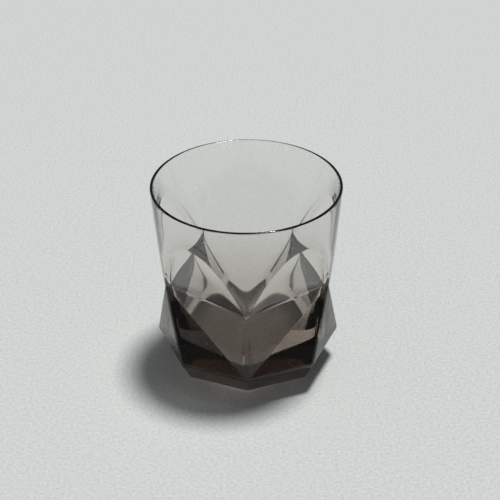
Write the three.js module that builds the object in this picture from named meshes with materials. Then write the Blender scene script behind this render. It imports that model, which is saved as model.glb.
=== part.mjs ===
// A faceted whiskey tumbler: one glass body with a smooth round rim, a five-cornered waist,
// a seven-cornered girdle and a flat foot.
// Millimetres, +Z up, origin at the centre of the foot. One waist corner faces -Y.
import * as THREE from 'three';

// Overall sizes.
const HEIGHT = 94;
const RIM_RADIUS = 43.5;

// Smooth band that stays round all the way, from the lip down to the tops of the flat panels.
const ROUND_BAND = 14.5;

// Waist, where the panels end: its corners lie on the round wall.
const WAIST_CORNERS = 5;
const WAIST_HEIGHT = 47.5;
const WAIST_RADIUS = 39.7;

// Girdle, the widest level of the lower half. Five of its corners stand at equal steps round the
// front, and two lie straight below the back waist corners, so that the back is one flat face.
const GIRDLE_HEIGHT = 15;
const GIRDLE_RADIUS = 43;
const GIRDLE_STEP = THREE.MathUtils.degToRad(45);

// Foot, with a corner below each girdle corner. The front one is nearer to the axis.
const FOOT_FRONT = 30.5;
const FOOT_RADIUS = 33.5;
const FOOT_STEP = THREE.MathUtils.degToRad(54);

// Glass thickness, and how the cavity narrows from the waist to its floor.
const RIM_WALL = 1.4;
const WAIST_WALL = 2.4;
const BASE_WALL = 17;
const FLAT_DRAFT = 3;
const CORNER_DRAFT = 6;
const FLOOR_FILLET = 2;
const CORNER_SOFTNESS = 3;

// Mesh resolution.
const PANEL_STEPS = 12;
const AROUND = WAIST_CORNERS * PANEL_STEPS;
const LIP_STEPS = 4;
const WALL_LEVELS = 5;
const LOWER_LEVELS = 3;
const FILLET_STEPS = 4;

const HALF_PANEL = Math.PI / WAIST_CORNERS;
const LIP_RADIUS = RIM_WALL / 2;
const LIP_BASE = HEIGHT - LIP_RADIUS;
const PANEL_PEAK_HEIGHT = HEIGHT - ROUND_BAND;

// Radius of the round outer wall at a height.
function wallRadius(z) {
  const share = (z - WAIST_HEIGHT) / (LIP_BASE - WAIST_HEIGHT);
  return THREE.MathUtils.lerp(WAIST_RADIUS, RIM_RADIUS, share);
}

// Distance from the axis to a flat upper panel at a height, measured square to the panel.
const PANEL_FOOT = WAIST_RADIUS * Math.cos(HALF_PANEL);
const PANEL_SLOPE = (wallRadius(PANEL_PEAK_HEIGHT) - PANEL_FOOT) / (PANEL_PEAK_HEIGHT - WAIST_HEIGHT);
function panelDistance(z) {
  return PANEL_FOOT + PANEL_SLOPE * (z - WAIST_HEIGHT);
}

// Angle from the middle of the nearest panel.
function fromPanelMiddle(angle) {
  return (angle % (2 * HALF_PANEL)) - HALF_PANEL;
}

// Height at which a panel runs out into the round wall.
const WALL_SLOPE = (RIM_RADIUS - WAIST_RADIUS) / (LIP_BASE - WAIST_HEIGHT);
function panelTop(angle) {
  const turn = Math.cos(fromPanelMiddle(angle));
  const rise = (WAIST_RADIUS * turn - PANEL_FOOT) / (PANEL_SLOPE - WALL_SLOPE * turn);
  return WAIST_HEIGHT + rise;
}

// The smaller of two lengths, rounded over where they are close to each other.
function softMin(a, b, softness) {
  const overlap = Math.max(softness - Math.abs(a - b), 0) / softness;
  return Math.min(a, b) - overlap * overlap * softness / 4;
}

// Radius of the cavity: a circle with soft flats behind the panels.
function cavityRadius(angle, z) {
  let faceDistance;
  let roundRadius;
  if (z >= WAIST_HEIGHT) {
    const share = (z - WAIST_HEIGHT) / (HEIGHT - WAIST_HEIGHT);
    const wall = THREE.MathUtils.lerp(WAIST_WALL, RIM_WALL, share);
    faceDistance = panelDistance(z) - wall;
    roundRadius = wallRadius(z) - wall;
  } else {
    const depth = (WAIST_HEIGHT - z) / (WAIST_HEIGHT - BASE_WALL);
    faceDistance = PANEL_FOOT - WAIST_WALL - FLAT_DRAFT * depth;
    roundRadius = WAIST_RADIUS - WAIST_WALL - CORNER_DRAFT * depth;
  }
  return softMin(faceDistance / Math.cos(fromPanelMiddle(angle)), roundRadius, CORNER_SOFTNESS);
}

// A mesh kept as plain lists of corners and triangles.
const positions = [];
const triangles = [];

// Angle 0 is -Y, and angles turn towards +X.
function addPoint(radius, angle, z) {
  positions.push(radius * Math.sin(angle), -radius * Math.cos(angle), z);
  return positions.length / 3 - 1;
}

function addRing(angles, radiusAt, heightAt) {
  return angles.map((angle) => addPoint(radiusAt(angle), angle, heightAt(angle)));
}

const roundAngles = [];
for (let i = 0; i < AROUND; i += 1) {
  roundAngles.push(2 * Math.PI * i / AROUND);
}

// Join a ring to the next one. Both have the same number of corners.
function joinRings(from, to) {
  for (let i = 0; i < from.length; i += 1) {
    const j = (i + 1) % from.length;
    triangles.push([from[i], from[j], to[j]]);
    triangles.push([from[i], to[j], to[i]]);
  }
}

// The waist loop, which climbs over each panel and comes down at each waist corner.
const panelEdge = addRing(roundAngles, (angle) => wallRadius(panelTop(angle)), panelTop);
const waist = [];
for (let k = 0; k < WAIST_CORNERS; k += 1) {
  waist.push(panelEdge[k * PANEL_STEPS]);
}

// Flat upper panels, between each waist edge and the round wall.
for (let k = 0; k < WAIST_CORNERS; k += 1) {
  const first = k * PANEL_STEPS;
  const last = waist[(k + 1) % WAIST_CORNERS];
  for (let i = 1; i < PANEL_STEPS; i += 1) {
    const next = i + 1 < PANEL_STEPS ? panelEdge[first + i + 1] : last;
    triangles.push([panelEdge[first + i], waist[k], next]);
  }
}

// Triangular facets between the waist and the girdle. Going round, each facet moves one corner
// on along the waist (W) or along the girdle (G). The two across the back make its flat face.
const FACET_WALK = 'WGGWGGWGWGGW';
const backCorner = 4 * HALF_PANEL;
const girdleAngles = [
  0, GIRDLE_STEP, 2 * GIRDLE_STEP, backCorner,
  -backCorner, -2 * GIRDLE_STEP, -GIRDLE_STEP,
];
const girdle = addRing(girdleAngles, () => GIRDLE_RADIUS, () => GIRDLE_HEIGHT);
let atWaist = 0;
let atGirdle = 0;
for (const step of FACET_WALK) {
  const top = waist[atWaist % waist.length];
  const low = girdle[atGirdle % girdle.length];
  if (step === 'W') {
    atWaist += 1;
    triangles.push([top, low, waist[atWaist % waist.length]]);
  } else {
    atGirdle += 1;
    triangles.push([top, low, girdle[atGirdle % girdle.length]]);
  }
}

// Base band and the flat foot.
const footAngles = [
  0, FOOT_STEP, FOOT_STEP + GIRDLE_STEP, backCorner,
  -backCorner, -FOOT_STEP - GIRDLE_STEP, -FOOT_STEP,
];
const foot = addRing(footAngles, (angle) => (angle === 0 ? FOOT_FRONT : FOOT_RADIUS), () => 0);
joinRings(foot, girdle);
for (let i = 1; i < foot.length - 1; i += 1) {
  triangles.push([foot[0], foot[i + 1], foot[i]]);
}

// Round wall and the rounded lip.
let upper = panelEdge;
for (let i = 0; i <= LIP_STEPS; i += 1) {
  const turn = Math.PI * i / LIP_STEPS;
  const radius = RIM_RADIUS - LIP_RADIUS + LIP_RADIUS * Math.cos(turn);
  const height = LIP_BASE + LIP_RADIUS * Math.sin(turn);
  const ring = addRing(roundAngles, () => radius, () => height);
  joinRings(upper, ring);
  upper = ring;
}

// Cavity wall, from the lip down to the start of the floor fillet.
const cavityHeights = [];
for (let i = 1; i <= WALL_LEVELS; i += 1) {
  cavityHeights.push(THREE.MathUtils.lerp(LIP_BASE, WAIST_HEIGHT, i / WALL_LEVELS));
}
const filletTop = BASE_WALL + FLOOR_FILLET;
for (let i = 1; i <= LOWER_LEVELS; i += 1) {
  cavityHeights.push(THREE.MathUtils.lerp(WAIST_HEIGHT, filletTop, i / LOWER_LEVELS));
}
for (const height of cavityHeights) {
  const ring = addRing(roundAngles, (angle) => cavityRadius(angle, height), () => height);
  joinRings(upper, ring);
  upper = ring;
}

// Floor fillet and the flat floor.
for (let i = 1; i <= FILLET_STEPS; i += 1) {
  const turn = Math.PI / 2 * i / FILLET_STEPS;
  const inset = FLOOR_FILLET * (1 - Math.cos(turn));
  const height = filletTop - FLOOR_FILLET * Math.sin(turn);
  const ring = addRing(roundAngles, (angle) => cavityRadius(angle, filletTop) - inset, () => height);
  joinRings(upper, ring);
  upper = ring;
}
const floorCentre = addPoint(0, 0, BASE_WALL);
for (let i = 0; i < AROUND; i += 1) {
  triangles.push([upper[i], upper[(i + 1) % AROUND], floorCentre]);
}

const geometry = new THREE.BufferGeometry();
geometry.setAttribute('position', new THREE.Float32BufferAttribute(positions, 3));
geometry.setIndex(triangles.flat());
geometry.computeVertexNormals();

const smokeGlass = new THREE.MeshStandardMaterial({
  name: 'smoke_glass',
  color: 0x5b5a58,
  roughness: 0.05,
  transparent: true,
  opacity: 0.35,
});

const glass = new THREE.Mesh(geometry, smokeGlass);
glass.name = 'tumbler_glass';

const tumbler = new THREE.Group();
tumbler.name = 'whiskey_tumbler';
tumbler.add(glass);

export default tumbler;
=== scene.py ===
"""The looks of the faceted whiskey tumbler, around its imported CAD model.

The glass's lengths are millimetres, as in the CAD source, and become metres when its points and
modifiers are made. The floor and the camera are in metres.
Angle 0 is -Y, and angles turn towards +X. One waist corner faces -Y.
"""
import math

import bmesh
import bpy
from mathutils import Matrix, Vector


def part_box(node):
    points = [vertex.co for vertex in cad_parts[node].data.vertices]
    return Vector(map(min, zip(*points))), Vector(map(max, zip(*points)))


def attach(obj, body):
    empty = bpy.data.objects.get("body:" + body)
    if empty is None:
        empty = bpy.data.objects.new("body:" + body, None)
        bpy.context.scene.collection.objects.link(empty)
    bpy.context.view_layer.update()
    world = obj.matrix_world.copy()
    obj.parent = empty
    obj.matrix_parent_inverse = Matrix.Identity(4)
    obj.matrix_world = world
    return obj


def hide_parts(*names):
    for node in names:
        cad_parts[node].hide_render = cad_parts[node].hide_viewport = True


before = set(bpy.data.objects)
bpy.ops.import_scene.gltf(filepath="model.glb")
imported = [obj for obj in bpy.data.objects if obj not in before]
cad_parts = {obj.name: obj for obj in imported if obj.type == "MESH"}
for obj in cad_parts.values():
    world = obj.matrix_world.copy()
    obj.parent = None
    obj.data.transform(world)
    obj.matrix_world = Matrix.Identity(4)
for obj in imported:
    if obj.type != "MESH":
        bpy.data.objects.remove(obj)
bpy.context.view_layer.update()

NODE = "tumbler_glass"
MM = 0.001

# The outside. Height and rim radius come from the CAD model.
low_corner, high_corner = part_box(NODE)
HEIGHT = (high_corner[2] - low_corner[2]) / MM
RIM_RADIUS = (high_corner[0] - low_corner[0]) / 2 / MM
ROUND_BAND = 14.5
WAIST_CORNERS = 5
WAIST_HEIGHT = 47.5
WAIST_RADIUS = 39.7
GIRDLE_HEIGHT = 15.0
GIRDLE_RADIUS = 43.0
GIRDLE_STEP = math.radians(45)
FOOT_FRONT = 30.5
FOOT_RADIUS = 33.5
FOOT_STEP = math.radians(54)

# Glass thickness, and how the cavity narrows from the waist to its floor.
RIM_WALL = 1.4
WAIST_WALL = 2.4
BASE_WALL = 17.0
FLAT_DRAFT = 3.0
CORNER_DRAFT = 6.0
FLOOR_FILLET = 2.0
CORNER_SOFTNESS = 3.0

# Widths of the rounded-over edges. The ridge, down the front, is the widest.
RIDGE_EDGE = 2.6
GIRDLE_EDGE = 2.0
CORNER_EDGE = 1.8
WAIST_EDGE = 1.0
PANEL_EDGE = 0.7
CUT_EDGE = 0.3
FOOT_EDGE = 0.8
EDGE_STEPS = 6

# How strongly shading follows the large flat faces rather than the rounded edges beside them.
FLAT_SHADING_WEIGHT = 80

# Mesh fineness.
PANEL_STEPS = 24
AROUND = WAIST_CORNERS * PANEL_STEPS
LIP_STEPS = 8
CAVITY_LEVELS = 60
FILLET_STEPS = 10

HALF_PANEL = math.pi / WAIST_CORNERS
ROUND_ANGLES = [2 * math.pi * i / AROUND for i in range(AROUND)]
BACK_CORNER = 4 * HALF_PANEL
GIRDLE_ANGLES = [0, GIRDLE_STEP, 2 * GIRDLE_STEP, BACK_CORNER]
GIRDLE_ANGLES += [-BACK_CORNER, -2 * GIRDLE_STEP, -GIRDLE_STEP]
FOOT_ANGLES = [0, FOOT_STEP, FOOT_STEP + GIRDLE_STEP, BACK_CORNER]
FOOT_ANGLES += [-BACK_CORNER, -FOOT_STEP - GIRDLE_STEP, -FOOT_STEP]
LIP_RADIUS = RIM_WALL / 2
LIP_BASE = HEIGHT - LIP_RADIUS
PANEL_PEAK_HEIGHT = HEIGHT - ROUND_BAND


def mix(a, b, share):
    return a + (b - a) * share


# ---------------------------------------------------------------- shape of the glass

def wall_radius(z):
    """Radius of the round outer wall at a height."""
    return mix(WAIST_RADIUS, RIM_RADIUS, (z - WAIST_HEIGHT) / (LIP_BASE - WAIST_HEIGHT))


WALL_SLOPE = (RIM_RADIUS - WAIST_RADIUS) / (LIP_BASE - WAIST_HEIGHT)
PANEL_FOOT = WAIST_RADIUS * math.cos(HALF_PANEL)
PANEL_RUN = PANEL_PEAK_HEIGHT - WAIST_HEIGHT
PANEL_SLOPE = (wall_radius(PANEL_PEAK_HEIGHT) - PANEL_FOOT) / PANEL_RUN


def from_panel_middle(angle):
    """Angle from the middle of the nearest panel."""
    return (angle % (2 * HALF_PANEL)) - HALF_PANEL


def panel_top(angle):
    """Height at which a flat panel runs out into the round wall."""
    turn = math.cos(from_panel_middle(angle))
    return WAIST_HEIGHT + (WAIST_RADIUS * turn - PANEL_FOOT) / (PANEL_SLOPE - WALL_SLOPE * turn)


def soft_min(a, b, softness):
    """The smaller of two lengths, rounded over where they are close to each other."""
    overlap = max(softness - abs(a - b), 0.0) / softness
    return min(a, b) - overlap * overlap * softness / 4


def cavity_radius(angle, z):
    """Radius of the cavity: a circle with soft flats behind the panels."""
    if z >= WAIST_HEIGHT:
        wall = mix(WAIST_WALL, RIM_WALL, (z - WAIST_HEIGHT) / (HEIGHT - WAIST_HEIGHT))
        face = PANEL_FOOT + PANEL_SLOPE * (z - WAIST_HEIGHT) - wall
        curve = wall_radius(z) - wall
    else:
        depth = (WAIST_HEIGHT - z) / (WAIST_HEIGHT - BASE_WALL)
        face = PANEL_FOOT - WAIST_WALL - FLAT_DRAFT * depth
        curve = WAIST_RADIUS - WAIST_WALL - CORNER_DRAFT * depth
    return soft_min(face / math.cos(from_panel_middle(angle)), curve, CORNER_SOFTNESS)


def add_ring(bm, angles, radius_at, height_at):
    """A closed ring of points, one at each angle."""
    ring = []
    for angle in angles:
        radius = radius_at(angle)
        point = Vector((radius * math.sin(angle), -radius * math.cos(angle), height_at(angle)))
        ring.append(bm.verts.new(point * MM))
    return ring


def join_rings(bm, lower, upper):
    """Faces between two rings that have the same number of points."""
    for i in range(len(lower)):
        j = (i + 1) % len(lower)
        bm.faces.new((lower[i], lower[j], upper[j], upper[i]))


def level_ring(bm, radius, height):
    """A round ring at one height."""
    return add_ring(bm, ROUND_ANGLES, lambda angle: radius, lambda angle: height)


def cavity_ring(bm, height, section_height, inset):
    """A ring at a height, with the cavity's outline at section_height drawn in by inset."""
    return add_ring(
        bm,
        ROUND_ANGLES,
        lambda angle: cavity_radius(angle, section_height) - inset,
        lambda angle: height,
    )


def add_facets(bm, waist, girdle):
    """The facets between the waist and the girdle, as the CAD model has them.

    Going round, each one moves one corner on along the waist (W) or along the girdle (G).
    B is the flat face at the back, which moves one on along both.
    """
    at_waist = 0
    at_girdle = 0
    for step in "WGGWGBGWGGW":
        corners = [waist[at_waist % len(waist)], girdle[at_girdle % len(girdle)]]
        if step in "GB":
            at_girdle += 1
            corners.append(girdle[at_girdle % len(girdle)])
        if step in "WB":
            at_waist += 1
            corners.append(waist[at_waist % len(waist)])
        bm.faces.new(corners)


def add_outside(bm):
    """Foot, base band, facets, flat panels and round wall. Returns the wall's top ring."""
    panel_edge = add_ring(bm, ROUND_ANGLES, lambda a: wall_radius(panel_top(a)), panel_top)
    waist = [panel_edge[k * PANEL_STEPS] for k in range(WAIST_CORNERS)]
    for k in range(WAIST_CORNERS):
        first = k * PANEL_STEPS
        arch = [panel_edge[(first + i) % AROUND] for i in range(PANEL_STEPS + 1)]
        bm.faces.new([arch[0], arch[-1]] + arch[-2:0:-1])
    girdle = add_ring(bm, GIRDLE_ANGLES, lambda a: GIRDLE_RADIUS, lambda a: GIRDLE_HEIGHT)
    foot = add_ring(bm, FOOT_ANGLES, lambda a: FOOT_RADIUS if a else FOOT_FRONT, lambda a: 0.0)
    add_facets(bm, waist, girdle)
    join_rings(bm, foot, girdle)
    bm.faces.new(foot[::-1])
    wall_top = level_ring(bm, RIM_RADIUS, LIP_BASE)
    join_rings(bm, panel_edge, wall_top)
    mark_edges(bm, panel_edge, waist, girdle, foot)
    return wall_top


def edge_width(ends, panel_edge, waist, girdle, foot):
    """How wide an outside edge is rounded over."""
    front, left, right = waist[0], waist[-1], waist[1]
    if ends == {front, girdle[0]}:
        return RIDGE_EDGE
    if ends in ({left, girdle[0]}, {right, girdle[0]}):
        return CUT_EDGE
    if ends <= set(girdle):
        return GIRDLE_EDGE
    if ends <= set(waist):
        return WAIST_EDGE
    if ends <= set(panel_edge):
        return PANEL_EDGE
    if ends <= set(waist + girdle):
        return CORNER_EDGE
    if ends & set(foot):
        return FOOT_EDGE
    return 0.0


def mark_edges(bm, panel_edge, waist, girdle, foot):
    """Write each edge's width as a bevel weight, a share of the widest one."""
    weight = bm.edges.layers.float.new("bevel_weight_edge")
    for edge in bm.edges:
        width = edge_width(set(edge.verts), panel_edge, waist, girdle, foot)
        edge[weight] = width / RIDGE_EDGE


def add_lip(bm, wall_top):
    """The rounded lip. Returns its inner ring."""
    ring = wall_top
    for i in range(1, LIP_STEPS + 1):
        turn = math.pi * i / LIP_STEPS
        radius = RIM_RADIUS - LIP_RADIUS + LIP_RADIUS * math.cos(turn)
        upper = level_ring(bm, radius, LIP_BASE + LIP_RADIUS * math.sin(turn))
        join_rings(bm, ring, upper)
        ring = upper
    return ring


def add_cavity(bm, lip_inside):
    """The cavity wall, its floor fillet and the flat floor."""
    ring = lip_inside
    fillet_top = BASE_WALL + FLOOR_FILLET
    for i in range(1, CAVITY_LEVELS + 1):
        height = mix(LIP_BASE, fillet_top, i / CAVITY_LEVELS)
        lower = cavity_ring(bm, height, height, 0.0)
        join_rings(bm, ring, lower)
        ring = lower
    for i in range(1, FILLET_STEPS + 1):
        turn = math.pi / 2 * i / FILLET_STEPS
        inset = FLOOR_FILLET * (1 - math.cos(turn))
        lower = cavity_ring(bm, fillet_top - FLOOR_FILLET * math.sin(turn), fillet_top, inset)
        join_rings(bm, ring, lower)
        ring = lower
    bm.faces.new(ring)


def make_glass():
    """The whole glass as one closed mesh, with its edges rounded over."""
    bm = bmesh.new()
    wall_top = add_outside(bm)
    add_cavity(bm, add_lip(bm, wall_top))
    bmesh.ops.recalc_face_normals(bm, faces=bm.faces)
    mesh = bpy.data.meshes.new("faceted_glass")
    bm.to_mesh(mesh)
    bm.free()
    mesh.shade_smooth()
    piece = bpy.data.objects.new("faceted_glass", mesh)
    bpy.context.scene.collection.objects.link(piece)
    rounding = piece.modifiers.new("melted_edges", "BEVEL")
    rounding.limit_method = "WEIGHT"
    rounding.offset_type = "WIDTH"
    rounding.width = RIDGE_EDGE * MM
    rounding.segments = EDGE_STEPS
    rounding.use_clamp_overlap = False
    shading = piece.modifiers.new("facet_shading", "WEIGHTED_NORMAL")
    shading.mode = "FACE_AREA"
    shading.weight = FLAT_SHADING_WEIGHT
    return piece


# ---------------------------------------------------------------- materials

# The glass and its tint. The density is per metre of glass.
GLASS_IOR = 1.5
GLASS_TINT = (0.58, 0.50, 0.44, 1.0)
TINT_DENSITY = 110.0

# Ripples and dust on the glass. Noise scales are per metre, and the depth is in millimetres.
RIPPLE_SCALE = 60.0
RIPPLE_DETAIL = 1.0
RIPPLE_STRENGTH = 0.15
RIPPLE_DEPTH = 0.25
DUST_SCALE = 2500.0
DUST_DETAIL = 2.0
DUST_START = 0.66
DUST_FULL = 0.72
CLEAN_ROUGHNESS = 0.008
DUSTY_ROUGHNESS = 0.35

# The floor: a dark and a light tone, mixed by a fine grain.
STONE_DARK = (0.52, 0.55, 0.545, 1.0)
STONE_LIGHT = (0.70, 0.73, 0.72, 1.0)
STONE_ROUGHNESS = 0.9
GRAIN_SCALE = 700.0
GRAIN_DETAIL = 6.0
GRAIN_START = 0.25
GRAIN_END = 0.75


def new_material(name):
    material = bpy.data.materials.new(name)
    material.use_nodes = True
    return material, material.node_tree.nodes, material.node_tree.links


def make_smoke_glass():
    """Clear glass, smoke-grey in thin walls and brown where it is thick."""
    material, nodes, links = new_material("smoke_glass")
    surface = nodes["Principled BSDF"]
    surface.inputs["Base Color"].default_value = (1.0, 1.0, 1.0, 1.0)
    surface.inputs["IOR"].default_value = GLASS_IOR
    surface.inputs["Transmission Weight"].default_value = 1.0
    place = nodes.new("ShaderNodeTexCoord").outputs["Object"]

    # Faint ripples left by the mould.
    ripple = nodes.new("ShaderNodeTexNoise")
    ripple.inputs["Scale"].default_value = RIPPLE_SCALE
    ripple.inputs["Detail"].default_value = RIPPLE_DETAIL
    links.new(place, ripple.inputs["Vector"])
    waves = nodes.new("ShaderNodeBump")
    waves.inputs["Strength"].default_value = RIPPLE_STRENGTH
    waves.inputs["Distance"].default_value = RIPPLE_DEPTH * MM
    links.new(ripple.outputs["Fac"], waves.inputs["Height"])
    links.new(waves.outputs["Normal"], surface.inputs["Normal"])

    # Rough specks of dust on glass that is otherwise almost perfectly smooth.
    dust = nodes.new("ShaderNodeTexNoise")
    dust.inputs["Scale"].default_value = DUST_SCALE
    dust.inputs["Detail"].default_value = DUST_DETAIL
    links.new(place, dust.inputs["Vector"])
    haze = nodes.new("ShaderNodeMapRange")
    haze.inputs["From Min"].default_value = DUST_START
    haze.inputs["From Max"].default_value = DUST_FULL
    haze.inputs["To Min"].default_value = CLEAN_ROUGHNESS
    haze.inputs["To Max"].default_value = DUSTY_ROUGHNESS
    links.new(dust.outputs["Fac"], haze.inputs["Value"])
    links.new(haze.outputs["Result"], surface.inputs["Roughness"])

    tint = nodes.new("ShaderNodeVolumeAbsorption")
    tint.inputs["Color"].default_value = GLASS_TINT
    tint.inputs["Density"].default_value = TINT_DENSITY
    links.new(tint.outputs["Volume"], nodes["Material Output"].inputs["Volume"])
    return material


def make_pale_stone():
    """The plain pale floor, with a fine grain."""
    material, nodes, links = new_material("pale_stone")
    surface = nodes["Principled BSDF"]
    surface.inputs["Roughness"].default_value = STONE_ROUGHNESS
    grain = nodes.new("ShaderNodeTexNoise")
    grain.inputs["Scale"].default_value = GRAIN_SCALE
    grain.inputs["Detail"].default_value = GRAIN_DETAIL
    links.new(nodes.new("ShaderNodeTexCoord").outputs["Object"], grain.inputs["Vector"])
    shade = nodes.new("ShaderNodeValToRGB")
    shade.color_ramp.elements[0].position = GRAIN_START
    shade.color_ramp.elements[0].color = STONE_DARK
    shade.color_ramp.elements[1].position = GRAIN_END
    shade.color_ramp.elements[1].color = STONE_LIGHT
    links.new(grain.outputs["Fac"], shade.inputs["Fac"])
    links.new(shade.outputs["Color"], surface.inputs["Base Color"])
    return material


# ---------------------------------------------------------------- stage, light and camera

# Metres. The gap keeps the floor and the foot from sharing a plane.
FLOOR_SIZE = 20.0
FLOOR_GAP = 0.0002

# LIGHT_FROM is only a direction, since the light is a sun.
ROOM_COLOR = (0.88, 0.95, 1.0, 1.0)
ROOM_STRENGTH = 0.13
LIGHT_FROM = Vector((0.20, 0.16, 1.35))
LIGHT_SPREAD = math.radians(11)
LIGHT_ENERGY = 2.9
LIGHT_COLOR = (1.0, 0.99, 0.97)

# The place is in metres, the lens and the sensor in millimetres, and the shift is a share of the
# picture's width.
CAMERA_DISTANCE = 0.541
CAMERA_HEIGHT = 0.3965
CAMERA_TURN = math.radians(0.9)
CAMERA_PITCH = math.radians(31.98)
CAMERA_ROLL = math.radians(-0.63)
CAMERA_LENS = 99.1
CAMERA_SENSOR = 36.0
CAMERA_SHIFT = 0.006

# Light paths through many glass faces need many bounces.
GLASS_BOUNCES = 24
GLOSSY_BOUNCES = 12


def make_floor():
    """A flat square floor, just under the foot. It is stage, not part of the glass."""
    mesh = bpy.data.meshes.new("floor")
    half = FLOOR_SIZE / 2
    corners = [(-half, -half, 0), (half, -half, 0), (half, half, 0), (-half, half, 0)]
    mesh.from_pydata(corners, [], [(0, 1, 2, 3)])
    floor = bpy.data.objects.new("floor", mesh)
    floor.location.z = -FLOOR_GAP
    bpy.context.scene.collection.objects.link(floor)
    mesh.materials.append(make_pale_stone())


def add_sun(name, direction, spread, energy, color):
    """Even light that comes from a direction, with soft shadows."""
    data = bpy.data.lights.new(name, "SUN")
    data.angle = spread
    data.energy = energy
    data.color = color
    light = bpy.data.objects.new(name, data)
    light.rotation_euler = (-direction).to_track_quat("-Z", "Y").to_euler()
    bpy.context.scene.collection.objects.link(light)


def make_light():
    """A dim, cool room and one soft light, high up and a little to the back right."""
    world = bpy.data.worlds.new("soft_room")
    bpy.context.scene.world = world
    world.use_nodes = True
    background = world.node_tree.nodes["Background"]
    background.inputs["Color"].default_value = ROOM_COLOR
    background.inputs["Strength"].default_value = ROOM_STRENGTH
    add_sun("window", LIGHT_FROM, LIGHT_SPREAD, LIGHT_ENERGY, LIGHT_COLOR)


def make_camera():
    """Looks down at the glass from the front, turned slightly about the glass's axis."""
    data = bpy.data.cameras.new("camera")
    data.sensor_width = CAMERA_SENSOR
    data.lens = CAMERA_LENS
    data.shift_x = CAMERA_SHIFT
    camera = bpy.data.objects.new("camera", data)
    place = Vector((0.0, -CAMERA_DISTANCE, CAMERA_HEIGHT))
    view = Vector((0.0, math.cos(CAMERA_PITCH), -math.sin(CAMERA_PITCH)))
    facing = view.to_track_quat("-Z", "Y").to_matrix() @ Matrix.Rotation(CAMERA_ROLL, 3, "Z")
    turn = Matrix.Rotation(CAMERA_TURN, 3, "Z")
    camera.location = turn @ place
    camera.rotation_euler = (turn @ facing).to_euler()
    bpy.context.scene.collection.objects.link(camera)
    bpy.context.scene.camera = camera


# ---------------------------------------------------------------- the scene

glass = make_glass()
glass.data.materials.append(make_smoke_glass())
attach(glass, "root")
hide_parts(NODE)

make_floor()
make_light()
make_camera()

scene = bpy.context.scene
scene.view_settings.view_transform = "Standard"
scene.cycles.max_bounces = GLASS_BOUNCES
scene.cycles.transmission_bounces = GLASS_BOUNCES
scene.cycles.glossy_bounces = GLOSSY_BOUNCES
